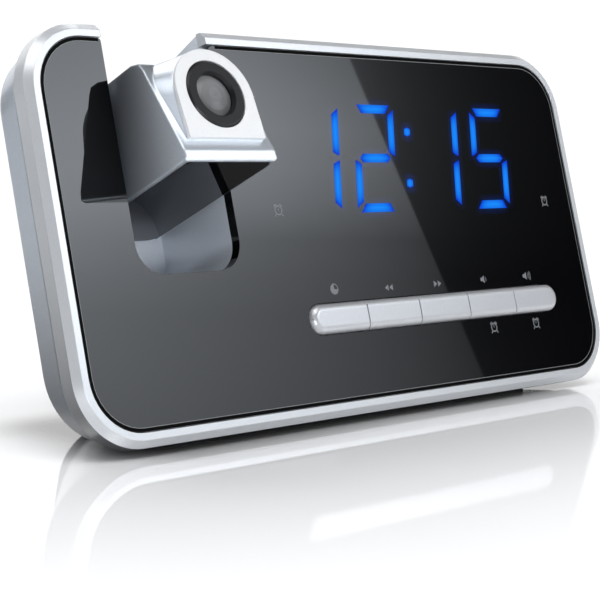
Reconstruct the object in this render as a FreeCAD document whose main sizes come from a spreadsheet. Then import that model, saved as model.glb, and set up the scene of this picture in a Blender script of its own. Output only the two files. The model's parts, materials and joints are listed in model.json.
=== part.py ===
# Projection alarm clock: a leaning face with keys and a display, a rear
# shell on a low base, and a rocking projector head in a notch of the face.
import FreeCAD
import Part
import Sketcher
import math
import os
from FreeCAD import Vector, Rotation, Placement

doc = FreeCAD.newDocument("ProjectionClock")
sheet = doc.addObject("Spreadsheet::Sheet", "Sizes")

# Named sizes, millimetres and degrees
SIZES = [
    ("face_lean", 14.5), ("footprint_shift", 22.6),
    ("foot_height", 0.8), ("foot_radius", 5.0), ("base_thickness", 1.4), ("base_seat", 0.058),
    ("face_width", 211.4), ("face_height", 107.3), ("face_corner", 18.2),
    ("side_rim", 3.75), ("end_rim", 3.65),
    ("opening_width", "=face_width - 2 * side_rim"),
    ("opening_height", "=face_height - 2 * end_rim"), ("opening_corner", 14.5),
    ("bezel_depth", 6.0), ("bezel_chamfer", 1.8), ("ledge_width", 2.5),
    ("base_top", "=foot_height + base_thickness + base_seat"),
    ("opening_centre_height", "=base_top + face_height / 2 * cos(face_lean) + bezel_chamfer * sin(face_lean)"),
    ("panel_thickness", 3.0), ("panel_recess", 0.3), ("panel_gap", 0.25),
    ("notch_width", 34.8), ("notch_inset", 38.25), ("notch_bottom", -11.3),
    ("notch_centre", "=notch_inset - opening_width / 2"),
    ("notch_corner", 8.0), ("notch_top_corner", 3.0), ("notch_left_corner", 0.8),
    ("shell_wall", 2.2), ("collar_depth", 12.9), ("shell_back", 52.0),
    ("side_taper", 33.7), ("back_width", "=face_width - 2 * side_taper"), ("back_corner", 14.0), ("top_slope", 17.0),
    ("rear_opening_width", 92.0), ("rear_opening_height", 60.0),
    ("rear_rim", 3.0), ("cover_thickness", 3.4), ("seat_gap", 0.1),
    ("pocket_wall", 1.8), ("pocket_back", 31.8),
    ("head_width", 30.0), ("pivot_up", 20.06), ("pivot_back", 13.54), ("head_tilt", 80.4),
    ("pin_radius", 2.0), ("running_gap", 0.05), ("tail_radius", 16.7),
    ("head_top", 53.6), ("head_back", 30.24), ("door_width", 28.4), ("door_thickness", 2.0),
    ("plate_top", 54.4), ("plate_thickness", 1.0), ("plate_half", 12.5),
    ("lens_back", 17.84), ("focus_radius", 9.1), ("lens_radius", 5.7),
    ("key_pitch", 21.9), ("key_height", 8.4), ("key_inset", 73.25), ("key_rise", 23.4),
    ("key_centre", "=opening_width / 2 - key_inset"), ("key_level", "=key_rise - opening_height / 2"),
    ("key_gap", 0.15), ("key_slot_gap", 0.3), ("key_proud", 1.3), ("key_travel", 0.8),
    ("guide_depth", 10.9), ("guide_wall", 3.2), ("board_thickness", 1.6),
    ("switch_height", 3.5), ("plunger_radius", 1.7),
    ("digit_pitch", 23.35), ("digit_half", 7.2), ("digit_slant", 0.182),
    ("segment_width", 2.5), ("segment_length", 12.6),
    ("display_half_width", 52.0), ("display_half_height", 19.5), ("display_depth", 8.0),
    ("display_offset", 90.1), ("display_drop", 31.2),
    ("display_centre", "=notch_centre + display_offset"), ("board_hole_inset", 4.0),
    ("display_level", "=opening_height / 2 - display_drop"),
    ("speaker_radius", 20.0), ("cell_radius", 5.2), ("cell_length", 44.0),
    ("base_front_width", 156.0), ("base_back_width", 88.0), ("base_depth", 39.0),
    ("base_corner", 2.0), ("base_straight", 11.0), ("base_back_corner", 6.0), ("foot_inset", 12.0),
    ("front_foot_back", 7.0), ("rear_foot_back", 32.0), ("rear_foot_inset", 10.0),
]
for row, (name, value) in enumerate(SIZES, start=1):
    sheet.set("A%d" % row, name)
    sheet.setAlias("B%d" % row, name)
for row, (name, value) in enumerate(SIZES, start=1):
    sheet.set("B%d" % row, str(value))
doc.recompute()


def size(name):
    """The value of a named size."""
    return float(getattr(sheet, name))


lean = size("face_lean")
half_notch = size("notch_width") / 2
notch_mid = size("notch_centre")
panel_back = size("panel_recess") + size("panel_thickness")
slope = math.tan(math.radians(size("top_slope")))
rise = math.tan(math.radians(lean))
upright = Rotation(Vector(1, 0, 0), 90 - lean)


def face_point(across, up, out):
    """World position of a point given across, up and out of the face."""
    local = Vector(across, up, out)
    origin = Vector(0, -size("footprint_shift"), size("opening_centre_height"))
    return upright.multVec(local) + origin


face_place = Placement(face_point(0, 0, 0), upright)
head_rotation = Rotation(Vector(1, 0, 0), 90 - lean + size("head_tilt"))
pivot_point = face_point(notch_mid, size("pivot_up"), -size("pivot_back"))
head_place = Placement(pivot_point, head_rotation)
nodes = []


# Helpers for bodies, sketches and features

def new_body(label, place):
    body = doc.addObject("PartDesign::Body", "Body_" + label)
    body.Label = label
    body.Placement = place
    nodes.append(body)
    return body


def new_sketch(body, plane, offset=0.0, name="Outline"):
    sketch = body.newObject("Sketcher::SketchObject", name)
    for feature in body.Origin.OriginFeatures:
        if feature.Role == plane:
            sketch.AttachmentSupport = [(feature, "")]
    sketch.MapMode = "FlatFace"
    sketch.AttachmentOffset = Placement(Vector(0, 0, offset), Rotation())
    return sketch


def line(sketch, start, end):
    return sketch.addGeometry(Part.LineSegment(Vector(*start, 0), Vector(*end, 0)), False)


def arc(sketch, centre, radius, start_deg, end_deg):
    circle = Part.Circle(Vector(centre[0], centre[1], 0), Vector(0, 0, 1), radius)
    bow = Part.ArcOfCircle(circle, math.radians(start_deg), math.radians(end_deg))
    return sketch.addGeometry(bow, False)


def polygon(sketch, points):
    for first, second in zip(points, points[1:] + points[:1]):
        line(sketch, first, second)


def circle(sketch, centre, radius, expression=None):
    index = sketch.addGeometry(Part.Circle(Vector(*centre, 0), Vector(0, 0, 1), radius), False)
    sketch.addConstraint(Sketcher.Constraint("DistanceX", -1, 1, index, 3, centre[0]))
    sketch.addConstraint(Sketcher.Constraint("DistanceY", -1, 1, index, 3, centre[1]))
    number = sketch.addConstraint(Sketcher.Constraint("Radius", index, radius))
    if expression:
        sketch.setExpression("Constraints[%d]" % number, expression)
    return index


def rounded(sketch, low, high, radius, expressions=None):
    """A rounded rectangle, fully constrained; expressions bind width, height, radius."""
    (x0, y0), (x1, y1) = low, high
    lines = [
        line(sketch, (x0 + radius, y0), (x1 - radius, y0)),
        line(sketch, (x1, y0 + radius), (x1, y1 - radius)),
        line(sketch, (x1 - radius, y1), (x0 + radius, y1)),
        line(sketch, (x0, y1 - radius), (x0, y0 + radius)),
    ]
    corners = [
        arc(sketch, (x1 - radius, y0 + radius), radius, 270, 360),
        arc(sketch, (x1 - radius, y1 - radius), radius, 0, 90),
        arc(sketch, (x0 + radius, y1 - radius), radius, 90, 180),
        arc(sketch, (x0 + radius, y0 + radius), radius, 180, 270),
    ]
    rules = []
    for index in range(4):
        rules.append(Sketcher.Constraint("Tangent", lines[index], 2, corners[index], 1))
        rules.append(Sketcher.Constraint("Tangent", corners[index], 2, lines[(index + 1) % 4], 1))
    for index in (0, 2):
        rules.append(Sketcher.Constraint("Horizontal", lines[index]))
    for index in (1, 3):
        rules.append(Sketcher.Constraint("Vertical", lines[index]))
    for index in range(1, 4):
        rules.append(Sketcher.Constraint("Equal", corners[0], corners[index]))
    sketch.addConstraint(rules)
    sketch.addConstraint(Sketcher.Constraint("DistanceX", -1, 1, lines[3], 1, x0))
    sketch.addConstraint(Sketcher.Constraint("DistanceY", -1, 1, lines[0], 1, y0))
    numbers = [
        sketch.addConstraint(Sketcher.Constraint("DistanceX", lines[3], 1, lines[1], 1, x1 - x0)),
        sketch.addConstraint(Sketcher.Constraint("DistanceY", lines[0], 1, lines[2], 1, y1 - y0)),
        sketch.addConstraint(Sketcher.Constraint("Radius", corners[0], radius)),
    ]
    for number, expression in zip(numbers, expressions or []):
        if expression:
            sketch.setExpression("Constraints[%d]" % number, expression)


def pad(body, sketch, length, expression=None, back=False, middle=False):
    feature = body.newObject("PartDesign::Pad", "Pad")
    feature.Profile = sketch
    feature.Length = length
    feature.Reversed = back
    if middle:
        feature.SideType = "Symmetric"
    if expression:
        feature.setExpression("Length", expression)
    sketch.Visibility = False
    doc.recompute()
    return feature


def pocket(body, sketch, length, expression=None, back=False, middle=False):
    feature = body.newObject("PartDesign::Pocket", "Pocket")
    feature.Profile = sketch
    feature.Length = length
    feature.Reversed = back
    if middle:
        feature.SideType = "Symmetric"
    if expression:
        feature.setExpression("Length", expression)
    sketch.Visibility = False
    doc.recompute()
    return feature


def edges_where(shape, test):
    return ["Edge%d" % (number + 1) for number, edge in enumerate(shape.Edges) if test(edge)]


def dress(body, base, kind, names, amount, expression=None):
    feature = body.newObject("PartDesign::" + kind, kind)
    feature.Base = (base, names)
    if kind == "Fillet":
        feature.Radius = amount
    else:
        feature.Size = amount
    if expression:
        feature.setExpression("Radius" if kind == "Fillet" else "Size", expression)
    doc.recompute()
    return feature


def primitive(label, kind, place, **values):
    """A loose primitive; values are numbers or expressions."""
    item = doc.addObject("Part::" + kind, label)
    for name, value in values.items():
        if isinstance(value, str):
            item.setExpression(name, value)
        else:
            setattr(item, name, value)
    item.Placement = place
    return item


def moved(place, x, y, z, rotation=None):
    return place.multiply(Placement(Vector(x, y, z), rotation or Rotation()))


def cut_of(label, base, tools):
    tool = tools[0]
    if len(tools) > 1:
        tool = doc.addObject("Part::MultiFuse", label + "_tools")
        tool.Shapes = tools
    result = doc.addObject("Part::Cut", label + "_cut")
    result.Base = base
    result.Tool = tool
    result.Label = label
    return result


def keep(item, label):
    item.Label = label
    nodes.append(item)
    return item


def group(label, items):
    compound = doc.addObject("Part::Compound", label + "_group")
    compound.Links = items
    return keep(compound, label)


def at_depth(depth):
    """Upper and lower edge of the outer shell at a depth behind the face plane."""
    half = size("face_height") / 2
    behind = depth - size("bezel_chamfer")
    return half - behind * slope, -half + behind * rise


def notch_outline(sketch, grow, bottom_grow, top):
    """The notch as a U, open upwards beyond the face."""
    left = notch_mid - half_notch - grow
    right = notch_mid + half_notch + grow
    bottom = size("notch_bottom") - bottom_grow
    radius = size("notch_corner") + grow
    line(sketch, (left, top), (left, bottom + radius))
    arc(sketch, (left + radius, bottom + radius), radius, 180, 270)
    line(sketch, (left + radius, bottom), (right - radius, bottom))
    arc(sketch, (right - radius, bottom + radius), radius, 270, 360)
    line(sketch, (right, bottom + radius), (right, top))
    line(sketch, (right, top), (left, top))


# Front bezel: a chamfered ring with a ledge for the panel and a gap at the notch
bezel = new_body("front_bezel", face_place)
outline = new_sketch(bezel, "XY_Plane")
rounded(outline, (-size("face_width") / 2, -size("face_height") / 2),
        (size("face_width") / 2, size("face_height") / 2), size("face_corner"),
        ["Sizes.face_width", "Sizes.face_height", "Sizes.face_corner"])
base_pad = pad(bezel, outline, size("bezel_depth"), "Sizes.bezel_depth", back=True)
rim_edges = edges_where(base_pad.Shape, lambda edge: edge.BoundBox.ZMin > -0.01)
chamfered = dress(bezel, base_pad, "Chamfer", rim_edges, size("bezel_chamfer"), "Sizes.bezel_chamfer")
opening = new_sketch(bezel, "XY_Plane", name="Opening")
rounded(opening, (-size("opening_width") / 2, -size("opening_height") / 2),
        (size("opening_width") / 2, size("opening_height") / 2), size("opening_corner"),
        ["Sizes.opening_width", "Sizes.opening_height", "Sizes.opening_corner"])
pocket(bezel, opening, panel_back, "Sizes.panel_recess + Sizes.panel_thickness")
through = new_sketch(bezel, "XY_Plane", name="Through")
inset = size("ledge_width")
rounded(through, (-size("opening_width") / 2 + inset, -size("opening_height") / 2 + inset),
        (size("opening_width") / 2 - inset, size("opening_height") / 2 - inset),
        size("opening_corner") - inset,
        ["Sizes.opening_width - 2 * Sizes.ledge_width", "Sizes.opening_height - 2 * Sizes.ledge_width",
         "Sizes.opening_corner - Sizes.ledge_width"])
pocket(bezel, through, 20.0)
gap = new_sketch(bezel, "XY_Plane", name="NotchGap")
polygon(gap, [(notch_mid - half_notch, 40), (notch_mid + half_notch, 40),
              (notch_mid + half_notch, 60), (notch_mid - half_notch, 60)])
pocket(bezel, gap, 20.0)
wide = half_notch + size("pocket_wall") + size("seat_gap")
seat = new_sketch(bezel, "XY_Plane", -panel_back, name="PocketSeat")
polygon(seat, [(notch_mid - wide, 40), (notch_mid + wide, 40), (notch_mid + wide, 60), (notch_mid - wide, 60)])
pocket(bezel, seat, 10.0)

# Front panel: gloss acrylic with the notch and the key slot
panel = new_body("front_panel", face_place)
fit = size("panel_gap")
outline = new_sketch(panel, "XY_Plane", -size("panel_recess"))
rounded(outline, (-size("opening_width") / 2 + fit, -size("opening_height") / 2 + fit),
        (size("opening_width") / 2 - fit, size("opening_height") / 2 - fit),
        size("opening_corner") - fit,
        ["Sizes.opening_width - 2 * Sizes.panel_gap", "Sizes.opening_height - 2 * Sizes.panel_gap",
         "Sizes.opening_corner - Sizes.panel_gap"])
pad(panel, outline, size("panel_thickness"), "Sizes.panel_thickness", back=True)
notch = new_sketch(panel, "XY_Plane", name="Notch")
notch_outline(notch, 0.0, 0.0, 60.0)
cut = pocket(panel, notch, 20.0)
panel_top = size("opening_height") / 2 - fit
for side, radius_name in ((1, "notch_top_corner"), (-1, "notch_left_corner")):
    corner_at = notch_mid + side * half_notch
    top_edges = edges_where(cut.Shape, lambda edge: edge.BoundBox.YMin > panel_top - 0.5
                            and edge.BoundBox.ZLength > 2 and abs(edge.BoundBox.XMax - corner_at) < 0.5)
    cut = dress(panel, cut, "Fillet", top_edges, size(radius_name), "Sizes." + radius_name)
row_half = size("key_pitch") * 2.5 + size("key_slot_gap")
slot_half = size("key_height") / 2 + size("key_slot_gap")
slot = new_sketch(panel, "XY_Plane", name="KeySlot")
rounded(slot, (size("key_centre") - row_half, size("key_level") - slot_half),
        (size("key_centre") + row_half, size("key_level") + slot_half), slot_half - 0.01)
pocket(panel, slot, 20.0)

# Rear shell: straight collar, then tapering back, hollow, with a rim for the cover
shell = new_body("rear_shell", face_place)


def shell_section(sketch, depth, half_width, corner, wall):
    upper, lower = at_depth(depth)
    rounded(sketch, (-half_width + wall, lower + wall), (half_width - wall, upper - wall), corner - wall)


def shell_loft(kind, wall, start, stop):
    sections = []
    widths = [(start, size("face_width") / 2, size("face_corner")),
              (size("collar_depth"), size("face_width") / 2, size("face_corner")),
              (stop, size("back_width") / 2, size("back_corner"))]
    for depth, half_width, corner in widths:
        sketch = new_sketch(shell, "XY_Plane", -depth, name="Section")
        shell_section(sketch, min(depth, size("shell_back")), half_width, corner, wall)
        sketch.Visibility = False
        sections.append(sketch)
    doc.recompute()
    loft = shell.newObject("PartDesign::" + kind, kind)
    loft.Profile = sections[0]
    loft.Sections = sections[1:]
    loft.Ruled = True
    doc.recompute()
    return loft


shell_loft("AdditiveLoft", 0.0, size("bezel_depth"), size("shell_back"))
shell_loft("SubtractiveLoft", size("shell_wall"), size("bezel_depth"), size("shell_back") - size("rear_rim"))
back_upper, back_lower = at_depth(size("shell_back"))
back_mid = (back_upper + back_lower) / 2
rear_open = new_sketch(shell, "XY_Plane", -size("shell_back") + 10, name="RearOpening")
rounded(rear_open, (-size("rear_opening_width") / 2, back_mid - size("rear_opening_height") / 2),
        (size("rear_opening_width") / 2, back_mid + size("rear_opening_height") / 2), 6.0,
        ["Sizes.rear_opening_width", "Sizes.rear_opening_height"])
pocket(shell, rear_open, 30.0)
slot_end = size("pocket_back") + size("pocket_wall") + size("seat_gap")
top_slot = new_sketch(shell, "XY_Plane", 0, name="TopSlot")
polygon(top_slot, [(notch_mid - wide, 20), (notch_mid + wide, 20), (notch_mid + wide, 60), (notch_mid - wide, 60)])
pocket(shell, top_slot, slot_end)
screw_spots = [(side * 50.5, back_mid + level * 28.0) for side in (-1, 1) for level in (-1, 1)]
holes = new_sketch(shell, "XY_Plane", -size("shell_back") + 10, name="ScrewHoles")
for spot in screw_spots:
    circle(holes, spot, 1.2)
pocket(shell, holes, 30.0)

# Projector pocket: the silver well behind the notch
well = new_body("projector_pocket", face_place)
wall = size("pocket_wall")
outer = new_sketch(well, "XY_Plane", -panel_back)
notch_outline(outer, wall, wall, 60.0)
pad(well, outer, size("pocket_back") + wall - panel_back, back=True)
inner = new_sketch(well, "XY_Plane", 0, name="Hollow")
notch_outline(inner, 0.0, 0.0, 70.0)
pocket(well, inner, size("pocket_back"), "Sizes.pocket_back")
trim = new_sketch(well, "YZ_Plane", notch_mid, name="TopSlope")
crest = size("face_height") / 2
polygon(trim, [(crest, -size("bezel_chamfer")), (crest - 60 * slope, -size("bezel_chamfer") - 60),
               (90, -80), (90, 5), (crest, 5)])
pocket(well, trim, 60.0, middle=True)
bore = new_sketch(well, "YZ_Plane", notch_mid, name="PinBore")
circle(bore, (size("pivot_up"), -size("pivot_back")), size("pin_radius") + size("running_gap"),
       "Sizes.pin_radius + Sizes.running_gap")
pocket(well, bore, 60.0, middle=True)

# The well is trimmed flush with the outside of the shell
envelope = doc.addObject("PartDesign::Body", "Envelope")
envelope.Placement = face_place
sections = []
for depth, half_width, corner in ((size("bezel_chamfer"), size("face_width") / 2, size("face_corner")),
                                  (size("collar_depth"), size("face_width") / 2, size("face_corner")),
                                  (size("shell_back"), size("back_width") / 2, size("back_corner"))):
    sketch = new_sketch(envelope, "XY_Plane", -depth, name="Section")
    shell_section(sketch, depth, half_width, corner, 0.0)
    sections.append(sketch)
doc.recompute()
hull = envelope.newObject("PartDesign::AdditiveLoft", "Hull")
hull.Profile = sections[0]
hull.Sections = sections[1:]
hull.Ruled = True
doc.recompute()
trimmed = doc.addObject("Part::Common", "TrimmedWell")
trimmed.Base = well
trimmed.Tool = envelope
well.Label = "pocket_blank"
trimmed.Label = "projector_pocket"
nodes[nodes.index(well)] = trimmed
doc.recompute()

# Friction washers on both sides of the head
washer_width = half_notch - size("head_width") / 2 - 0.1
washers = []
turn_x = Rotation(Vector(0, 1, 0), 90)
for side in (-1, 1):
    inner_end = size("head_width") / 2 + 0.05 if side > 0 else -half_notch + 0.05
    spot = moved(face_place, notch_mid + inner_end, size("pivot_up"), -size("pivot_back"), turn_x)
    ring = primitive("washer_ring", "Cylinder", spot, Radius=4.0, Height=washer_width)
    hole = primitive("washer_hole", "Cylinder", spot, Radius="Sizes.pin_radius + Sizes.running_gap",
                     Height=washer_width + 0.01)
    washers.append(cut_of("friction_washer", ring, [hole]))
group("friction_washers", washers)

# Rear cover: grille, battery bay, power inlet and screw holes
cover = new_body("rear_cover", face_place)
outline = new_sketch(cover, "XY_Plane", -size("shell_back"))
rounded(outline, (-size("back_width") / 2, back_lower), (size("back_width") / 2, back_upper),
        size("back_corner"), ["Sizes.back_width", None, "Sizes.back_corner"])
plate = pad(cover, outline, size("cover_thickness"), "Sizes.cover_thickness", back=True)
rim_edges = edges_where(plate.Shape, lambda edge: edge.BoundBox.ZMax < -size("shell_back") - 3)
dress(cover, plate, "Fillet", rim_edges, 1.5)
speaker_mid = (-17.0, back_mid + 5.0)
grille = new_sketch(cover, "XY_Plane", -size("shell_back") + 1, name="Grille")
for level in range(-4, 5):
    reach = math.sqrt(17.0 ** 2 - (level * 3.8) ** 2)
    rounded(grille, (speaker_mid[0] - reach, speaker_mid[1] + level * 3.8 - 0.8),
            (speaker_mid[0] + reach, speaker_mid[1] + level * 3.8 + 0.8), 0.79)
pocket(cover, grille, 20.0)
holes = new_sketch(cover, "XY_Plane", -size("shell_back") + 1, name="ScrewHoles")
for spot in screw_spots:
    circle(holes, spot, 1.7)
pocket(cover, holes, 20.0)
outside = -size("shell_back") - size("cover_thickness")
sinks = new_sketch(cover, "XY_Plane", outside + 1.6, name="ScrewSinks")
for spot in screw_spots:
    circle(sinks, spot, 3.0)
pocket(cover, sinks, 20.0)
bay_mid = 29.0
bay_half = 12.3
bay_low = back_mid - 26.0
bay_high = back_mid + 22.0
bay = new_sketch(cover, "XY_Plane", -size("shell_back") + 1, name="BatteryBay")
polygon(bay, [(bay_mid - bay_half, bay_low), (bay_mid + bay_half, bay_low),
              (bay_mid + bay_half, bay_high), (bay_mid - bay_half, bay_high)])
pocket(cover, bay, 20.0)
rebate = new_sketch(cover, "XY_Plane", outside + 2.4, name="DoorRebate")
polygon(rebate, [(bay_mid - bay_half - 1.6, bay_low - 0.2), (bay_mid + bay_half + 1.6, bay_low - 0.2),
                 (bay_mid + bay_half + 1.6, bay_high + 1.8), (bay_mid - bay_half - 1.6, bay_high + 1.8)])
pocket(cover, rebate, 20.0)
thumb = new_sketch(cover, "XY_Plane", outside + 1.2, name="ThumbDip")
circle(thumb, (bay_mid, bay_high + 4.0), 4.0)
pocket(cover, thumb, 20.0)
hinge_level = bay_low + 1.5
hinge_depth = outside + 1.1
pin_bore = new_sketch(cover, "YZ_Plane", bay_mid, name="DoorPinBore")
circle(pin_bore, (hinge_level, hinge_depth), 0.75)
pocket(cover, pin_bore, 2 * (bay_half + 3.4), middle=True)
jack_spot = (-38.0, back_mid - 24.0)
inlet = new_sketch(cover, "XY_Plane", -size("shell_back") + 1, name="InletHole")
circle(inlet, jack_spot, 3.4)
pocket(cover, inlet, 20.0)

# Battery door with two hinge stubs and a latch lip
door = new_body("battery_door", face_place)
outline = new_sketch(door, "XY_Plane", outside)
rounded(outline, (bay_mid - bay_half - 1.2, bay_low + 0.7), (bay_mid + bay_half + 1.2, bay_high + 1.4), 0.8)
pad(door, outline, 2.2)
stubs = new_sketch(door, "YZ_Plane", bay_mid, name="Stubs")
circle(stubs, (hinge_level, hinge_depth), 0.7)
pad(door, stubs, 2 * (bay_half + 3.0), middle=True)
ribs = new_sketch(door, "XY_Plane", outside, name="Ribs")
for level in range(5):
    low = bay_high - 8.0 + level * 1.6
    polygon(ribs, [(bay_mid - 6, low), (bay_mid + 6, low), (bay_mid + 6, low + 0.7), (bay_mid - 6, low + 0.7)])
pocket(door, ribs, 0.4, back=True)

# Battery box, contacts and two cells
box = new_body("battery_box", face_place)
outline = new_sketch(box, "XY_Plane", -size("shell_back"))
polygon(outline, [(bay_mid - bay_half - 1.4, bay_low - 1.4), (bay_mid + bay_half + 1.4, bay_low - 1.4),
                  (bay_mid + bay_half + 1.4, bay_high + 1.4), (bay_mid - bay_half - 1.4, bay_high + 1.4)])
pad(box, outline, 13.0)
hollow = new_sketch(box, "XY_Plane", -size("shell_back") + 11.6, name="Hollow")
polygon(hollow, [(bay_mid - bay_half, bay_low), (bay_mid + bay_half, bay_low),
                 (bay_mid + bay_half, bay_high), (bay_mid - bay_half, bay_high)])
pocket(box, hollow, 20.0)
cells = []
contacts = []
cell_depth = -size("shell_back") + 11.6 - size("cell_radius") - 0.1
cell_turn = Rotation(Vector(1, 0, 0), -90)
for side in (-1, 1):
    across = bay_mid + side * 5.6
    start = (bay_low + bay_high) / 2 - size("cell_length") / 2
    can = primitive("cell_can", "Cylinder", moved(face_place, across, start, cell_depth, cell_turn),
                    Radius="Sizes.cell_radius", Height="Sizes.cell_length")
    tip = primitive("cell_tip", "Cylinder",
                    moved(face_place, across, start + size("cell_length") if side > 0 else start - 0.9,
                          cell_depth, cell_turn), Radius=1.9, Height=0.9)
    cell = doc.addObject("Part::Fuse", "cell")
    cell.Base = can
    cell.Tool = tip
    cells.append(cell)
    for level in (bay_low + 0.05, bay_high - 0.55):
        contacts.append(primitive("contact", "Box", moved(face_place, across - 3.5, level, cell_depth - 3.5),
                                  Length=7.0, Width=0.5, Height=7.0))
group("backup_cells", cells)
group("battery_contacts", contacts)

# Power inlet: a barrel jack with its centre pin
jack = new_body("power_jack", face_place)
outline = new_sketch(jack, "XY_Plane", -size("shell_back"))
polygon(outline, [(jack_spot[0] - 4.5, jack_spot[1] - 5), (jack_spot[0] + 4.5, jack_spot[1] - 5),
                  (jack_spot[0] + 4.5, jack_spot[1] + 5), (jack_spot[0] - 4.5, jack_spot[1] + 5)])
pad(jack, outline, 12.0)
socket = new_sketch(jack, "XY_Plane", -size("shell_back") + 9.0, name="Socket")
circle(socket, jack_spot, 2.8)
circle(socket, jack_spot, 1.0)
pocket(jack, socket, 20.0)

# Speaker: basket, cone and magnet behind the grille
speaker_place = moved(face_place, speaker_mid[0], speaker_mid[1], -size("shell_back"))
basket = new_body("speaker_basket", speaker_place)
profile = new_sketch(basket, "XZ_Plane")
radius = size("speaker_radius")
polygon(profile, [(radius - 3.0, 0.0), (radius, 0.0), (radius, 1.5), (radius - 2.5, 2.5), (9.5, 10.0),
                  (9.5, 11.2), (0.0, 11.2), (0.0, 10.0), (8.0, 10.0), (8.0, 9.4), (radius - 3.0, 1.8)])
turned = basket.newObject("PartDesign::Revolution", "Turned")
turned.Profile = profile
turned.ReferenceAxis = (profile, ["V_Axis"])
turned.Angle = 360
doc.recompute()
cone = new_body("speaker_cone", speaker_place)
profile = new_sketch(cone, "XZ_Plane")
polygon(profile, [(0.0, 4.2), (4.0, 3.2), (5.0, 6.2), (radius - 5.0, 1.6), (radius - 3.1, 1.0),
                  (radius - 3.1, 1.5), (radius - 4.8, 2.1), (5.2, 6.9), (4.5, 6.9), (3.6, 3.8), (0.0, 4.8)])
turned = cone.newObject("PartDesign::Revolution", "Turned")
turned.Profile = profile
turned.ReferenceAxis = (profile, ["V_Axis"])
turned.Angle = 360
doc.recompute()
keep(primitive("speaker_magnet", "Cylinder", moved(speaker_place, 0, 0, 11.2), Radius=9.0, Height=7.0),
     "speaker_magnet")

# Keys, their plungers, switches, guide and board
row_start = size("key_centre") - 2.5 * size("key_pitch")
switches = []
key_half = size("key_height") / 2
flange_top = panel_back + 0.3
for number in range(5):
    left = row_start + number * size("key_pitch") + size("key_gap")
    right = row_start + (number + 1) * size("key_pitch") - size("key_gap")
    middle_x = (left + right) / 2
    low = size("key_level") - key_half
    high = size("key_level") + key_half
    key = new_body("key_%d" % (number + 1), face_place)
    top = new_sketch(key, "XY_Plane", size("key_proud"))
    if number == 0:
        arc(top, (left + key_half, size("key_level")), key_half, 90, 270)
        line(top, (left + key_half, low), (right, low))
        line(top, (right, low), (right, high))
        line(top, (right, high), (left + key_half, high))
    elif number == 4:
        arc(top, (right - key_half, size("key_level")), key_half, -90, 90)
        line(top, (right - key_half, high), (left, high))
        line(top, (left, high), (left, low))
        line(top, (left, low), (right - key_half, low))
    else:
        polygon(top, [(left, low), (right, low), (right, high), (left, high)])
    cap = pad(key, top, size("key_proud") + flange_top + 1.2, back=True)
    front = size("key_proud") - 0.01
    long_edges = edges_where(cap.Shape, lambda edge: edge.BoundBox.ZMin > front
                             and (edge.BoundBox.XLength > 8 or edge.BoundBox.XLength > 2
                                  and edge.BoundBox.YLength > 2))
    soft = dress(key, cap, "Fillet", long_edges, 2.0)
    flange = new_sketch(key, "XY_Plane", -flange_top, name="Flange")
    ends = (left + (3.0 if number == 0 else 0.1), right - (3.0 if number == 4 else 0.1))
    polygon(flange, [(ends[0], low - 1.4), (ends[1], low - 1.4), (ends[1], high + 1.4), (ends[0], high + 1.4)])
    pad(key, flange, 1.2, back=True)
    stem = new_sketch(key, "XY_Plane", -flange_top - 1.2, name="Stem")
    circle(stem, (middle_x, size("key_level")), 2.2)
    pad(key, stem, 4.4, back=True)
    plunger_top = -flange_top - 5.6
    plunger = primitive("plunger", "Cylinder", moved(face_place, middle_x, size("key_level"), plunger_top - 2.8),
                        Radius="Sizes.plunger_radius", Height=2.8)
    keep(plunger, "plunger_%d" % (number + 1))
    board_front = -panel_back - size("guide_depth")
    block = primitive("switch_block", "Box", moved(face_place, middle_x - 3, size("key_level") - 3, board_front),
                      Length=6.0, Width=6.0, Height="Sizes.switch_height")
    well_hole = primitive("switch_bore", "Cylinder",
                          moved(face_place, middle_x, size("key_level"), board_front + 0.8),
                          Radius="Sizes.plunger_radius + Sizes.running_gap", Height=5.0)
    switches.append(cut_of("switch", block, [well_hole]))
group("key_switches", switches)
guide = new_body("key_guide", face_place)
outer = new_sketch(guide, "XY_Plane", -panel_back)
guide_half = row_half + 0.9
wall = size("guide_wall")
rounded(outer, (size("key_centre") - guide_half - wall, size("key_level") - 6.2 - wall),
        (size("key_centre") + guide_half + wall, size("key_level") + 6.2 + wall), 2.0)
pad(guide, outer, size("guide_depth"), "Sizes.guide_depth", back=True)
inner = new_sketch(guide, "XY_Plane", -panel_back + 1, name="Channel")
rounded(inner, (size("key_centre") - guide_half, size("key_level") - 6.2),
        (size("key_centre") + guide_half, size("key_level") + 6.2), 1.0)
pocket(guide, inner, 30.0)
key_board = new_body("key_board", face_place)
outline = new_sketch(key_board, "XY_Plane", -panel_back - size("guide_depth"))
rounded(outline, (size("key_centre") - guide_half - wall, size("key_level") - 6.2 - wall),
        (size("key_centre") + guide_half + wall, size("key_level") + 6.2 + wall), 1.0)
pad(key_board, outline, size("board_thickness"), "Sizes.board_thickness", back=True)
holes = new_sketch(key_board, "XY_Plane", 0, name="ScrewHoles")
guide_screws = [(size("key_centre") + side * (guide_half + wall / 2), size("key_level")) for side in (-1, 1)]
for spot in guide_screws:
    circle(holes, spot, 1.05)
pocket(key_board, holes, 60.0)
holes = new_sketch(guide, "XY_Plane", -panel_back - size("guide_depth") + 6, name="ScrewHoles")
for spot in guide_screws:
    circle(holes, spot, 0.95)
pocket(guide, holes, 30.0)

# Display: reflector block with the seven-segment light bars let into it
display_mid = size("display_centre")
display_level = size("display_level")
half_long = size("display_half_width")
half_tall = size("display_half_height")
display = new_body("display_block", face_place)
outline = new_sketch(display, "XY_Plane", -panel_back)
rounded(outline, (display_mid - half_long, display_level - half_tall),
        (display_mid + half_long, display_level + half_tall), 1.5)
pad(display, outline, size("display_depth"), "Sizes.display_depth", back=True)


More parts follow.
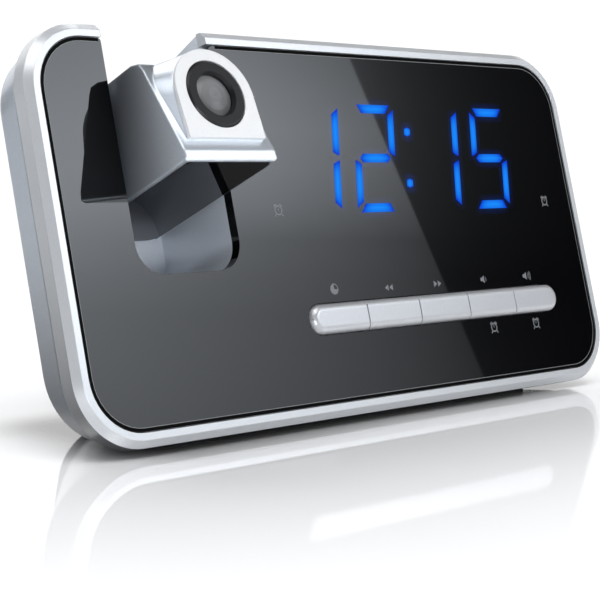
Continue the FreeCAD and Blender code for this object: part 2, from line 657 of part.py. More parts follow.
def bar(mid, vertical):
    """Corner points of one light bar, leaning with the digits."""
    half_long = size("segment_length") / 2 - (0.0 if vertical else 0.9)
    half_wide = size("segment_width") / 2
    points = [(half_long, 0), (half_long - half_wide, half_wide), (-half_long + half_wide, half_wide),
              (-half_long, 0), (-half_long + half_wide, -half_wide), (half_long - half_wide, -half_wide)]
    if vertical:
        points = [(-up, across) for across, up in points]
    result = []
    for across, up in points:
        level = mid[1] + up
        result.append((mid[0] + across + size("digit_slant") * level, size("display_level") + level))
    return result


bars = []
reach = size("digit_half")
tall = 14.7
for digit_mid in (-11.3, -11.3 + size("digit_pitch"), 40.8, 40.8 + size("digit_pitch")):
    for level in (-tall, 0.0, tall):
        bars.append(bar((digit_mid, level), False))
    for level in (-tall / 2, tall / 2):
        for side in (-reach, reach):
            bars.append(bar((digit_mid + side, level), True))
for level in (-7.6, 8.0):
    square = []
    for across, up in ((-1.3, -1.3), (1.3, -1.3), (1.3, 1.3), (-1.3, 1.3)):
        square.append((26.3 + across + size("digit_slant") * (level + up), size("display_level") + level + up))
    bars.append(square)
windows = new_sketch(display, "XY_Plane", -panel_back + 1, name="Windows")
for points in bars:
    polygon(windows, points)
pocket(display, windows, 2.0)
lights = new_body("display_segments", face_place)
glow = new_sketch(lights, "XY_Plane", -panel_back - 0.1)
for points in bars:
    polygon(glow, points)
glow_pad = lights.newObject("PartDesign::Pad", "Pad")
glow_pad.Profile = glow
glow_pad.Length = 0.9
glow_pad.Reversed = True
if hasattr(glow_pad, "AllowMultiFace"):
    glow_pad.AllowMultiFace = True
doc.recompute()

# Main board behind the display, held by four spacers and screws
main_place = moved(face_place, display_mid, display_level, -panel_back - size("display_depth"))
main_board = new_body("main_board", main_place)
outline = new_sketch(main_board, "XY_Plane")
rounded(outline, (-half_long, -half_tall), (half_long, half_tall), 1.5)
pad(main_board, outline, size("board_thickness"), "Sizes.board_thickness", back=True)
hole_across = half_long - size("board_hole_inset")
hole_up = half_tall - size("board_hole_inset") + 0.5
board_holes = [(side * hole_across, level * hole_up) for side in (-1, 1) for level in (-1, 1)]
holes = new_sketch(main_board, "XY_Plane", 5, name="ScrewHoles")
for spot in board_holes:
    circle(holes, spot, 1.35)
pocket(main_board, holes, 30.0)
holes = new_sketch(display, "XY_Plane", -panel_back - 2.5, name="ScrewHoles")
for spot in board_holes:
    circle(holes, (display_mid + spot[0], display_level + spot[1]), 1.2)
pocket(display, holes, 30.0)
chips = []
chip_back = -size("board_thickness")
for across, up, length, width, height in ((-20, 2, 14, 14, 2.0), (8, 6, 8, 6, 1.6), (26, -6, 10, 8, 2.6),
                                          (-38, -8, 6, 6, 5.0), (38, 8, 7, 5, 2.0)):
    chips.append(primitive("chip", "Box", moved(main_place, across - length / 2, up - width / 2, chip_back - height),
                           Length=length, Width=width, Height=height))
group("board_chips", chips)
keep(primitive("tuner_can", "Box", moved(main_place, -4, -16, chip_back - 5.0), Length=18.0, Width=14.0, Height=5.0),
     "tuner_can")


def screw(place, head_radius, shank_radius, length):
    """One screw whose head sits behind the local plane and shank runs forward."""
    head = primitive("screw_head", "Cylinder", moved(place, 0, 0, -1.4), Radius=head_radius, Height=1.4)
    shank = primitive("screw_shank", "Cylinder", place, Radius=shank_radius, Height=length)
    whole = doc.addObject("Part::Fuse", "screw_blank")
    whole.Base = head
    whole.Tool = shank
    slot_a = primitive("screw_slot", "Box", moved(place, -head_radius * 0.6, -0.25, -1.5),
                       Length=head_radius * 1.2, Width=0.5, Height=0.7)
    slot_b = primitive("screw_slot", "Box", moved(place, -0.25, -head_radius * 0.6, -1.5),
                       Length=0.5, Width=head_radius * 1.2, Height=0.7)
    return cut_of("screw", whole, [slot_a, slot_b])


cover_screws = []
for spot in screw_spots:
    cover_screws.append(screw(moved(face_place, spot[0], spot[1], outside + 1.6), 2.8, 1.2, 4.6))
group("cover_screws", cover_screws)
board_screws = []
for spot in board_holes:
    board_screws.append(screw(moved(main_place, spot[0], spot[1], chip_back), 2.3, 1.2, 6.0))
for spot in guide_screws:
    board_screws.append(screw(moved(face_place, spot[0], spot[1],
                                    -panel_back - size("guide_depth") - size("board_thickness")), 1.6, 0.95, 5.0))
group("board_screws", board_screws)

# Projector head in its own axes: pivot at the origin, closed pose upright
up0 = size("pivot_up")
deep = size("pivot_back")


def head_uv(up, out):
    """Face coordinates to the axes of the head."""
    return (up - up0, out + deep)


head = new_body("head_shell", head_place)
side = new_sketch(head, "YZ_Plane")
back = -size("head_back")
bow = size("tail_radius")
tail = (bow * math.cos(math.radians(150)), bow * math.sin(math.radians(150)))
outline_points = [tail, head_uv(0.6, -3.2), head_uv(0.6, 0.0), head_uv(52.9, 0.0), head_uv(53.6, -0.7),
                  head_uv(53.7, -2.8), head_uv(47.3, -27.5), head_uv(46.4, back + 0.9),
                  head_uv(43.4, back), (0.0, -bow)]
for first, second in zip(outline_points, outline_points[1:]):
    line(side, first, second)
arc(side, (0.0, 0.0), bow, 150, 270)
block = pad(head, side, size("head_width"), "Sizes.head_width", middle=True)
half_head = size("head_width") / 2
rim_edges = edges_where(block.Shape, lambda edge: edge.BoundBox.ZMin > deep - 0.05 and edge.BoundBox.XLength < 1)
dress(head, block, "Chamfer", rim_edges, 0.7)
turret_top = size("plate_top") - size("plate_thickness") - up0
plate_half = size("plate_half")


def arch(sketch, half, front, mid, radius):
    """A flat front edge, two sides and a rounded back; XZ plane sketch."""
    line(sketch, (-half, front), (half, front))
    line(sketch, (half, front), (half, mid + deep))
    arc(sketch, (half - radius, mid + deep), radius, -90, 0)
    line(sketch, (half - radius, mid + deep - radius), (-half + radius, mid + deep - radius))
    arc(sketch, (-half + radius, mid + deep), radius, 180, 270)
    line(sketch, (-half, mid + deep), (-half, front))


lens_out = -size("lens_back")
crown = new_sketch(head, "XZ_Plane", -turret_top, name="Crown")
arch(crown, plate_half, -5.95 + deep, lens_out, plate_half - 0.15)
skirt = new_sketch(head, "XZ_Plane", -(45.5 - up0), name="Skirt")
arch(skirt, half_head - 0.4, -5.0 + deep, back + 8.0, 7.9)
crown.Visibility = False
skirt.Visibility = False
doc.recompute()
turret = head.newObject("PartDesign::AdditiveLoft", "Turret")
turret.Profile = skirt
turret.Sections = [crown]
turret.Ruled = True
doc.recompute()
cavity = new_sketch(head, "XY_Plane", deep + 1, name="Cavity")
polygon(cavity, [(-12.9, 24.0 - up0), (12.9, 24.0 - up0), (12.9, 43.5 - up0), (-12.9, 43.5 - up0)])
pocket(head, cavity, 28.0 + 1)
hatch = new_sketch(head, "XY_Plane", deep + 1, name="Hatch")
polygon(hatch, [(-12.9, 6.0 - up0), (12.9, 6.0 - up0), (12.9, 49.5 - up0), (-12.9, 49.5 - up0)])
pocket(head, hatch, 5.0 + 1)
rebate = new_sketch(head, "XY_Plane", deep + 1, name="DoorRebate")
half_door = size("door_width") / 2 + 0.1
polygon(rebate, [(-half_door, -30.0), (half_door, -30.0), (half_door, 52.9 - up0), (-half_door, 52.9 - up0)])
pocket(head, rebate, size("door_thickness") + 1.1)
lens_bore = new_sketch(head, "XZ_Plane", -(60 - up0), name="LensBore")
circle(lens_bore, (0, lens_out + deep), size("focus_radius") + 0.15)
pocket(head, lens_bore, 60 - 40.0, back=True)
pin_bore = new_sketch(head, "YZ_Plane", 0, name="PinBore")
circle(pin_bore, (0.0, 0.0), size("pin_radius"), "Sizes.pin_radius")
pocket(head, pin_bore, 60.0, middle=True)

# Gloss door of the head
gloss = new_body("head_door", head_place)
outline = new_sketch(gloss, "XY_Plane", deep)
rounded(outline, (-size("door_width") / 2, -up0), (size("door_width") / 2, 52.8 - up0), 3.0,
        ["Sizes.door_width"])
pad(gloss, outline, size("door_thickness"), "Sizes.door_thickness", back=True)

# Lens plate, focus ring, lens, barrel and the projecting parts
plate = new_body("lens_plate", head_place)
outline = new_sketch(plate, "XZ_Plane", -(size("plate_top") - up0))
arch(outline, plate_half, -5.95 + deep, lens_out, plate_half - 0.15)
circle(outline, (0, lens_out + deep), size("focus_radius") + 0.15)
pad(plate, outline, size("plate_thickness"), "Sizes.plate_thickness")
lens_place = head_place.multiply(Placement(Vector(0, size("plate_top") - up0, lens_out + deep),
                                           Rotation(Vector(1, 0, 0), -90)))


def turned_part(label, points, place):
    body = new_body(label, place)
    profile = new_sketch(body, "XZ_Plane")
    polygon(profile, points)
    feature = body.newObject("PartDesign::Revolution", "Turned")
    feature.Profile = profile
    feature.ReferenceAxis = (profile, ["V_Axis"])
    feature.Angle = 360
    profile.Visibility = False
    doc.recompute()
    return body


focus = size("focus_radius")
lens = size("lens_radius")
turned_part("focus_ring", [(lens + 0.5, 0.3), (focus - 0.6, 0.3), (focus, -0.3), (focus, -4.0), (8.2, -4.0),
                           (8.2, -9.0), (lens + 1.0, -9.0), (lens + 1.0, -2.1), (lens, -1.3), (lens, -0.7)],
            lens_place)
turned_part("projection_lens", [(0.0, -0.2), (2.0, -0.32), (4.0, -0.75), (lens - 0.05, -1.4), (lens + 0.9, -2.2),
                                (lens + 0.9, -3.4), (0.0, -3.4)], lens_place)
turned_part("lens_barrel", [(8.3, -11.0), (10.0, -11.0), (10.0, -27.0), (6.0, -27.0), (6.0, -25.0), (8.3, -25.0)], lens_place)
turned_part("condenser_lens", [(0.0, -17.5), (4.0, -18.2), (8.2, -20.2), (8.2, -21.5), (0.0, -21.5)], lens_place)
keep(primitive("lcd_slide", "Box", moved(lens_place, -5.8, -5.8, -16.6), Length=11.6, Width=11.6, Height=1.4),
     "lcd_slide")
keep(primitive("projector_lamp", "Cylinder", moved(lens_place, 0, 0, -27.0), Radius=2.5, Height=5.0),
     "projector_lamp")
keep(primitive("projector_board", "Box", moved(lens_place, -11, -9, -28.4), Length=22.0, Width=18.0, Height=1.3),
     "projector_board")

# Hinge pins pressed into the head
pins = []
pin_length = 2.0 + half_notch - half_head + size("pocket_wall")
for sign in (-1, 1):
    start = half_head - 2.0 if sign > 0 else -half_head + 2.0 - pin_length
    pins.append(primitive("pin", "Cylinder", moved(head_place, start, 0, 0, turn_x), Radius="Sizes.pin_radius",
                          Height=pin_length))
group("hinge_pins", pins)

# Base plate and feet
base = new_body("base_plate", Placement(Vector(0, 0, size("foot_height")), Rotation()))
outline = new_sketch(base, "XY_Plane")
front_half = size("base_front_width") / 2
shift = size("footprint_shift")
back_half = size("base_back_width") / 2
nose = size("base_corner")
heel = size("base_back_corner")
depth = size("base_depth")
corners = [(-front_half, nose), (-front_half + nose, 0), (front_half - nose, 0), (front_half, nose),
           (front_half, size("base_straight")), (back_half, depth - nose), (back_half - heel, depth),
           (heel - back_half, depth), (-back_half, depth - nose), (-front_half, size("base_straight"))]
corners = [(across, along - shift) for across, along in corners]
polygon(outline, corners)
pad(base, outline, size("base_thickness"), "Sizes.base_thickness")
foot_spots = []
for side in (-1, 1):
    foot_spots.append((side * (front_half - size("foot_inset")), size("front_foot_back") - shift))
    foot_spots.append((side * (back_half - size("rear_foot_inset")), size("rear_foot_back") - shift))
feet = []
for spot in foot_spots:
    feet.append(primitive("foot", "Cylinder", Placement(Vector(spot[0], spot[1], 0), Rotation()),
                          Radius="Sizes.foot_radius", Height="Sizes.foot_height"))
group("rubber_feet", feet)
doc.recompute()

# Checks and export
os.makedirs("parts", exist_ok=True)
for item in doc.Objects:
    state = item.State
    if "Invalid" in state or "Error" in state:
        raise RuntimeError("feature failed: %s %s" % (item.Label, state))
for node in nodes:
    shape = node.Shape
    if shape.isNull() or not shape.isValid() or shape.Volume <= 0:
        raise RuntimeError("bad shape: " + node.Label)
    shape.exportStep("parts/%s.step" % node.Label)
    box_now = shape.BoundBox
    print("%-18s solids %2d volume %9.1f  x %7.2f %7.2f  y %7.2f %7.2f  z %7.2f %7.2f" % (
        node.Label, len(shape.Solids), shape.Volume, box_now.XMin, box_now.XMax,
        box_now.YMin, box_now.YMax, box_now.ZMin, box_now.ZMax))
print("nodes", len(nodes))
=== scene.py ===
import bpy
import json
import math
from mathutils import Matrix, Vector


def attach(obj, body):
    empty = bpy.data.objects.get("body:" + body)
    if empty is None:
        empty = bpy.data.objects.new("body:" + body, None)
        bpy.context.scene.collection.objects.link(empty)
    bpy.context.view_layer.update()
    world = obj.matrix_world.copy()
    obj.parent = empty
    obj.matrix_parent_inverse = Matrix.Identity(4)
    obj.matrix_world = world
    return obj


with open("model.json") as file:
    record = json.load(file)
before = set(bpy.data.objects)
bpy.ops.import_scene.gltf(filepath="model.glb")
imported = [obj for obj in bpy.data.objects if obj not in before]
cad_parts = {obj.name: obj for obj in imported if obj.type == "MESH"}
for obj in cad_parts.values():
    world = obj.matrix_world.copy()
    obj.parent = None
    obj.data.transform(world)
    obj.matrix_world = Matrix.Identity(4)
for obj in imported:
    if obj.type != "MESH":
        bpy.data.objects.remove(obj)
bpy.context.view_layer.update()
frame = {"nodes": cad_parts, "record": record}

# Camera solved from the edges of the face in the photograph
PHOTO_PX = 600
FOCAL_PX = 1596.11
EYE = Vector((-0.327906, -0.335681, 0.072119))
YAW = math.radians(44.203)
PITCH = math.radians(5.0)
AIM = Vector((math.sin(YAW) * math.cos(PITCH), math.cos(YAW) * math.cos(PITCH), -math.sin(PITCH)))
RIGHT = Vector((math.cos(YAW), -math.sin(YAW), 0.0))
UPWARD = RIGHT.cross(AIM)

# Axes of the leaning face
LEAN = math.radians(14.5)
FACE_UP = Vector((0.0, math.sin(LEAN), math.cos(LEAN)))
FACE_OUT = Vector((0.0, -math.cos(LEAN), math.sin(LEAN)))
FACE_MID = Vector((0.0, -0.0226, 0.05465))

PAPER_WHITE = 1.05


def face_point(across, up, out):
    """World point from face coordinates in millimetres."""
    return FACE_MID + Vector((across / 1000, 0, 0)) + FACE_UP * (up / 1000) + FACE_OUT * (out / 1000)


# Shader nodes

def add_node(tree, kind, inputs=None, **settings):
    """A new shader node; an input given as a socket is linked, any other is set."""
    node = tree.nodes.new("ShaderNode" + kind)
    for name, value in settings.items():
        setattr(node, name, value)
    for name, value in (inputs or {}).items():
        if isinstance(value, bpy.types.NodeSocket):
            tree.links.new(value, node.inputs[name])
        else:
            node.inputs[name].default_value = value
    return node


def ranged(tree, value, start, stop, low, high, kind="LINEAR"):
    """A socket that runs from low to high while the value runs from start to stop."""
    inputs = {"Value": value, "From Min": start, "From Max": stop, "To Min": low, "To Max": high}
    return add_node(tree, "MapRange", inputs, interpolation_type=kind).outputs["Result"]


def object_place(tree):
    return add_node(tree, "TexCoord").outputs["Object"]


def shader_of(mat):
    return mat.node_tree.nodes["Principled BSDF"]


def bare_material(name):
    """A material with no nodes yet, and its tree."""
    mat = bpy.data.materials.new(name)
    mat.use_nodes = True
    mat.node_tree.nodes.clear()
    return mat, mat.node_tree


def new_material(name, color, rough, metal=0.0, coat=0.0):
    mat = bpy.data.materials.new(name)
    mat.use_nodes = True
    inputs = shader_of(mat).inputs
    inputs["Base Color"].default_value = (*color, 1.0)
    inputs["Roughness"].default_value = rough
    inputs["Metallic"].default_value = metal
    inputs["Coat Weight"].default_value = coat
    inputs["Coat Roughness"].default_value = 0.08
    return mat


def set_specular(mat, level):
    shader_of(mat).inputs["Specular IOR Level"].default_value = level


def add_noise(mat, scale, color_a, color_b, rough=None, bump=0.0):
    """Fine variation of colour, roughness and relief from one noise in object space."""
    tree = mat.node_tree
    inputs = shader_of(mat).inputs
    noise = add_node(tree, "TexNoise", {"Scale": scale, "Detail": 3.0, "Vector": object_place(tree)})
    height = noise.outputs["Fac"]
    ramp = add_node(tree, "ValToRGB", {"Fac": height})
    for element, place, color in zip(ramp.color_ramp.elements, (0.3, 0.7), (color_a, color_b)):
        element.position = place
        element.color = (*color, 1.0)
    tree.links.new(ramp.outputs["Color"], inputs["Base Color"])
    if rough:
        tree.links.new(ranged(tree, height, 0.0, 1.0, *rough), inputs["Roughness"])
    if bump:
        relief = add_node(tree, "Bump", {"Strength": bump, "Distance": 0.00002, "Height": height})
        tree.links.new(relief.outputs["Normal"], inputs["Normal"])


def plastic(name, color, rough, scale=900.0, spread=0.12, bump=0.15, metal=0.0, coat=0.0):
    """A moulded or painted plastic with fine texture around one colour."""
    mat = new_material(name, color, rough, metal, coat)
    low = tuple(part * (1.0 - spread) for part in color)
    high = tuple(min(1.0, part * (1.0 + spread)) for part in color)
    add_noise(mat, scale, low, high, (rough * 0.9, min(1.0, rough * 1.15)), bump)
    return mat


def scale_color(mat, factor):
    """Multiply what feeds the base colour by a factor."""
    tree = mat.node_tree
    base = shader_of(mat).inputs["Base Color"]
    scaled = add_node(tree, "VectorMath", {0: base.links[0].from_socket, "Scale": factor}, operation="SCALE")
    tree.links.new(scaled.outputs["Vector"], base)


def shade_along(mat, axis, start, stop, low, high):
    """Painted light and shade: multiply the base colour by a factor that runs along one axis of the piece.
    """
    tree = mat.node_tree
    split = add_node(tree, "SeparateXYZ", {"Vector": object_place(tree)})
    scale_color(mat, ranged(tree, split.outputs[axis], start, stop, low, high, "SMOOTHSTEP"))


def shade_facing(mat, direction, side_heights, slope, front):
    """Painted light and shade: scale the base colour by how far the surface faces a direction: sides by
    height, slope, front.
    """
    tree = mat.node_tree
    coords = add_node(tree, "TexCoord")
    facing = add_node(tree, "VectorMath", {0: coords.outputs["Normal"], 1: direction},
                      operation="DOT_PRODUCT").outputs["Value"]
    split = add_node(tree, "SeparateXYZ", {"Vector": coords.outputs["Object"]})
    side = ranged(tree, split.outputs["Z"], *side_heights)
    to_slope = ranged(tree, facing, 0.25, 0.6, side, slope)
    to_front = ranged(tree, facing, 0.85, 0.97, 0.0, front - slope)
    total = add_node(tree, "Math", {0: to_slope, 1: to_front}, operation="ADD")
    scale_color(mat, total.outputs["Value"])


def soften(mat, radius):
    """Small round edges in the shading, under the fine relief."""
    tree = mat.node_tree
    relief = [node for node in tree.nodes if node.type == "BUMP"][0]
    edge = add_node(tree, "Bevel", {"Radius": radius}, samples=6)
    tree.links.new(edge.outputs["Normal"], relief.inputs["Normal"])


def gloss_paint():
    """Polished black acrylic with a faint haze."""
    mat = new_material("gloss_black", (0.0012, 0.0012, 0.0015), 0.02)
    tree = mat.node_tree
    shader = shader_of(mat)
    shader.inputs["IOR"].default_value = 1.49
    haze = add_node(tree, "TexNoise", {"Scale": 30.0, "Vector": object_place(tree)})
    tree.links.new(ranged(tree, haze.outputs["Fac"], 0.0, 1.0, 0.012, 0.03), shader.inputs["Roughness"])
    return mat


def glow_paint():
    """Light of the segments, taken from the colour of each corner."""
    mat = new_material("segment_glow", (0.0, 0.0, 0.0), 0.4)
    set_specular(mat, 0.0)
    color = add_node(mat.node_tree, "Attribute", attribute_name="Glow")
    mat.node_tree.links.new(color.outputs["Color"], shader_of(mat).inputs["Emission Color"])
    shader_of(mat).inputs["Emission Strength"].default_value = 1.0
    return mat


def halo_paint():
    """Clear film that only adds the soft light round the segments."""
    mat, tree = bare_material("segment_halo")
    color = add_node(tree, "Attribute", attribute_name="Glow")
    light = add_node(tree, "Emission", {"Color": color.outputs["Color"]})
    clear = add_node(tree, "BsdfTransparent")
    both = add_node(tree, "AddShader", {0: clear.outputs["BSDF"], 1: light.outputs["Emission"]})
    add_node(tree, "OutputMaterial", {"Surface": both.outputs["Shader"]})
    return mat


def emitter(name, color, strength):
    mat, tree = bare_material(name)
    light = add_node(tree, "Emission", {"Color": (*color, 1.0), "Strength": strength})
    add_node(tree, "OutputMaterial", {"Surface": light.outputs["Emission"]})
    return mat


# Paints of the CAD pieces

silver = plastic("silver_paint", (0.40, 0.43, 0.47), 0.33, 2600.0, 0.05, 0.03, 0.7, 0.3)
head_silver = plastic("head_silver", (0.56, 0.60, 0.65), 0.30, 2600.0, 0.04, 0.03, 0.75, 0.3)
silver_rim = plastic("silver_rim", (0.50, 0.515, 0.535), 0.30, 2600.0, 0.03, 0.02, 0.45, 0.3)
well_paint = plastic("well_paint", (0.66, 0.70, 0.76), 0.32, 2200.0, 0.03, 0.03, 0.25, 0.3)
pearl = plastic("pearl_paint", (0.60, 0.605, 0.615), 0.38, 1800.0, 0.02, 0.03, 0.15, 0.2)
key_paint = plastic("key_paint", (0.52, 0.53, 0.55), 0.34, 2200.0, 0.04, 0.03, 0.6, 0.1)
ring_black = plastic("ring_black", (0.010, 0.010, 0.011), 0.34, 1500.0, 0.15, 0.08)
set_specular(ring_black, 0.3)

glass = new_material("lens_glass", (0.10, 0.102, 0.106), 0.32)
shader_of(glass).inputs["Alpha"].default_value = 0.97
add_noise(glass, 60.0, (0.095, 0.097, 0.10), (0.115, 0.117, 0.12))

# Painted reflection and shade: gradients in the base colour that stand for what the satin silver and the
# lens mirror in a studio
SHELL_HEIGHT = (0.0, 0.085)
shade_along(silver, "Z", *SHELL_HEIGHT, 0.2, 1.35)
shade_along(head_silver, "Y", -0.007, -0.036, 0.15, 1.4)
shade_along(glass, "Z", 0.083, 0.093, 0.55, 1.5)
shade_facing(silver_rim, FACE_OUT, (*SHELL_HEIGHT, 0.1, 1.15), slope=1.12, front=1.08)

EDGE_RADII = ((silver, 0.0012), (silver_rim, 0.0003), (head_silver, 0.0008), (pearl, 0.00025),
              (key_paint, 0.0004), (ring_black, 0.0003))
for mat, radius in EDGE_RADII:
    soften(mat, radius)

BY_SLOT = {
    "silver": silver,
    "gloss_black": gloss_paint(),
    "pearl_white": pearl,
    "key_silver": key_paint,
    "black_ring": ring_black,
    "lens_glass": glass,
    "dark_grey": plastic("dark_texture", (0.045, 0.047, 0.052), 0.55, 1400.0, 0.18, 0.35),
    "white_plastic": plastic("white_part", (0.78, 0.78, 0.75), 0.45, 900.0, 0.03, 0.1),
    "switch_black": plastic("switch_black", (0.03, 0.03, 0.03), 0.5, 900.0, 0.15, 0.1),
    "board_green": plastic("board_green", (0.02, 0.13, 0.05), 0.42, 500.0, 0.35, 0.2),
    "light_blue": plastic("segment_unlit", (0.05, 0.08, 0.25), 0.4, 500.0, 0.1, 0.05),
    "lamp_red": plastic("lamp_red", (0.6, 0.05, 0.04), 0.2, 500.0, 0.1, 0.05),
    "steel": plastic("steel_plain", (0.56, 0.57, 0.58), 0.32, 1200.0, 0.08, 0.08, 1.0),
    "ferrite": plastic("ferrite_dark", (0.05, 0.05, 0.055), 0.75, 700.0, 0.3, 0.4),
    "cone_paper": plastic("cone_paper", (0.05, 0.05, 0.055), 0.9, 1600.0, 0.3, 0.6),
    "cell_wrap": plastic("cell_wrap", (0.08, 0.22, 0.12), 0.3, 400.0, 0.1, 0.05),
    "rubber": plastic("rubber_matt", (0.025, 0.025, 0.026), 0.85, 1500.0, 0.25, 0.4),
}
BY_NODE = {"front_bezel": silver_rim, "head_shell": head_silver, "projector_pocket": well_paint}
slots = {part["node"]: part["material_slot"] for part in frame["record"]["subparts"]}
for node, obj in frame["nodes"].items():
    obj.data.materials.clear()
    obj.data.materials.append(BY_NODE.get(node, BY_SLOT[slots[node]]))


# Flat printed and glowing shapes on the face, in millimetres

SURFACE = -0.27


def flat_mesh(name, polygons, level, mat, colors=None):
    """Flat faces in face coordinates, at one level above the face plane."""
    verts = []
    faces = []
    for points in polygons:
        start = len(verts)
        verts.extend(face_point(across, up, level) for across, up in points)
        faces.append(tuple(range(start, start + len(points))))
    mesh = bpy.data.meshes.new(name)
    mesh.from_pydata(verts, [], faces)
    if colors:
        layer = mesh.color_attributes.new("Glow", "FLOAT_COLOR", "POINT")
        for index, value in enumerate(colors):
            layer.data[index].color = (*value, 1.0)
    mesh.materials.append(mat)
    mesh.update()
    obj = bpy.data.objects.new(name, mesh)
    bpy.context.scene.collection.objects.link(obj)
    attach(obj, "housing")


# Lit time: where the digits stand, how they slant and how big their bars are
SLANT = 0.182
DIGIT_LEVEL = 18.8
DIGIT_HALF = 14.7
DIGIT_REACH = 7.2
DIGIT_MIDS = (("1", -11.3), ("2", 12.05), ("1", 40.8), ("5", 64.15))
COLON_ACROSS = 26.3
COLON_UPS = (-7.6, 8.0)
BAR_STEPS = 12
CORE = (0.012, 0.27, 1.0)
EDGE = (0.004, 0.035, 0.62)
HALO = (0.0, 0.010, 0.085)
NONE = (0.0, 0.0, 0.0)
DIGITS = {"1": "bc", "2": "abged", "5": "afgcd"}
PLACES = {
    "a": (0.0, DIGIT_HALF, False), "g": (0.0, 0.0, False), "d": (0.0, -DIGIT_HALF, False),
    "f": (-DIGIT_REACH, DIGIT_HALF / 2, True), "b": (DIGIT_REACH, DIGIT_HALF / 2, True),
    "e": (-DIGIT_REACH, -DIGIT_HALF / 2, True), "c": (DIGIT_REACH, -DIGIT_HALF / 2, True),
}
# Half lengths of the bars towards each end: at the outer edge, the middle and the inner edge
MITRES = {
    "a": ((6.9, 6.0, 5.1), (6.9, 6.0, 5.1)), "d": ((6.9, 6.0, 5.1), (6.9, 6.0, 5.1)),
    "g": ((5.2, 6.5, 5.2), (5.2, 6.5, 5.2)),
    "b": ((6.7, 6.3, 5.6), (7.3, 6.4, 5.5)), "f": ((6.7, 6.3, 5.6), (7.3, 6.4, 5.5)),
    "c": ((7.3, 6.4, 5.5), (6.7, 6.3, 5.6)), "e": ((7.3, 6.4, 5.5), (6.7, 6.3, 5.6)),
    ":": ((1.0, 1.4, 1.0), (1.0, 1.4, 1.0)),
}
OUTWARD = {"a": 1, "d": -1, "g": 1, "b": 1, "c": 1, "e": -1, "f": -1, ":": 1}


def bar_brightness(along, side):
    """Brightest along the middle of the bar, with a short fall at its ends."""
    return (1.0 - abs(along) ** 3.0) * (1.0 - 0.45 * abs(side - 1))


def halo_brightness(along, side):
    return (1.0 - along * along) * (1.0 - abs(side - 1))


def add_bar(polygons, colors, bar, half_wide, grow, core, rim, brightness):
    """One light bar as two rows of quads."""
    letter, mid, vertical = bar
    starts, stops = MITRES[letter]
    for row in range(2):
        for step in range(BAR_STEPS):
            quad = []
            for index, side in ((step, row), (step + 1, row), (step + 1, row + 1), (step, row + 1)):
                along = -1.0 + 2.0 * index / BAR_STEPS
                reach = starts[side] if along < 0 else stops[side]
                long = along * (reach + grow)
                across = OUTWARD[letter] * (1 - side) * half_wide
                dx, dy = (across, long) if vertical else (long, across)
                up = mid[1] + dy
                quad.append((mid[0] + dx + SLANT * up, DIGIT_LEVEL + up))
                bright = brightness(along, side)
                colors.append(tuple(a * bright + b * (1 - bright) for a, b in zip(core, rim)))
            polygons.append(quad)


def add_lights(name, level, mat, *look):
    polygons = []
    colors = []
    for bar in bars:
        add_bar(polygons, colors, bar, *look)
    flat_mesh(name, polygons, level, mat, colors)


bars = [(":", (COLON_ACROSS, up), True) for up in COLON_UPS]
for digit, digit_mid in DIGIT_MIDS:
    for letter in DIGITS[digit]:
        dx, dy, vertical = PLACES[letter]
        bars.append((letter, (digit_mid + dx, dy), vertical))
add_lights("lit_time", SURFACE, glow_paint(), 1.3, 0.0, CORE, EDGE, bar_brightness)
add_lights("lit_halo", SURFACE - 0.012, halo_paint(), 3.4, 2.0, HALO, NONE, halo_brightness)


# Printed signs: a clock over the first key, arrows, loudspeakers, and four alarm clocks
CLOCK_MID = (-14.4, -18.5)
ARROWS = ((7.8, -1), (28.6, 1))
ARROW_LEVEL = -19.3
SPEAKERS = ((50.3, 1), (71.0, 3))
SPEAKER_LEVEL = -19.15
ALARM_MIDS = ((50.9, -34.1), (71.6, -34.3), (-30.3, 4.2), (87.8, 4.6))


def ring_shape(mid, radius, width, start, stop, count):
    """Quads of a ring or an arc of it, between two angles in degrees."""
    result = []
    for index in range(count):
        a = math.radians(start + (stop - start) * index / count)
        b = math.radians(start + (stop - start) * (index + 1) / count)
        result.append([(mid[0] + r * math.cos(t), mid[1] + r * math.sin(t))
                       for r, t in ((radius, a), (radius, b), (radius - width, b), (radius - width, a))])
    return result


def stroke(mid, first, second, width):
    """A straight line as one quad, with its ends given from the middle of the sign."""
    a = Vector(mid) + Vector(first)
    b = Vector(mid) + Vector(second)
    side = (b - a).normalized() * width / 2
    side = Vector((-side.y, side.x))
    return [tuple(a + side), tuple(a - side), tuple(b - side), tuple(b + side)]


def triangle(mid, size, turn):
    """A filled triangle pointing left (-1) or right (1)."""
    back = mid[0] - turn * size * 0.6
    return [(mid[0] + turn * size, mid[1]), (back, mid[1] + size), (back, mid[1] - size)]


def speaker(across, waves):
    box = [(-1.6, 0.55), (-0.8, 0.55), (-0.8, -0.55), (-1.6, -0.55)]
    horn = [(-0.8, 0.55), (0.2, 1.25), (0.2, -1.25), (-0.8, -0.55)]
    result = [[(across + x, SPEAKER_LEVEL + y) for x, y in shape] for shape in (box, horn)]
    for wave in range(waves):
        result += ring_shape((across, SPEAKER_LEVEL), 1.1 + 0.6 * wave, 0.25, -40, 40, 5)
    return result


def alarm_clock(mid):
    result = ring_shape(mid, 1.45, 0.4, 0, 360, 16)
    for side in (-1, 1):
        result.append(stroke(mid, (1.6 * side, 1.0), (0.7 * side, 1.7), 0.4))
        result.append(stroke(mid, (1.0 * side, -1.1), (1.5 * side, -1.7), 0.35))
    result.append(stroke(mid, (0.0, -0.1), (0.0, 0.8), 0.3))
    return result


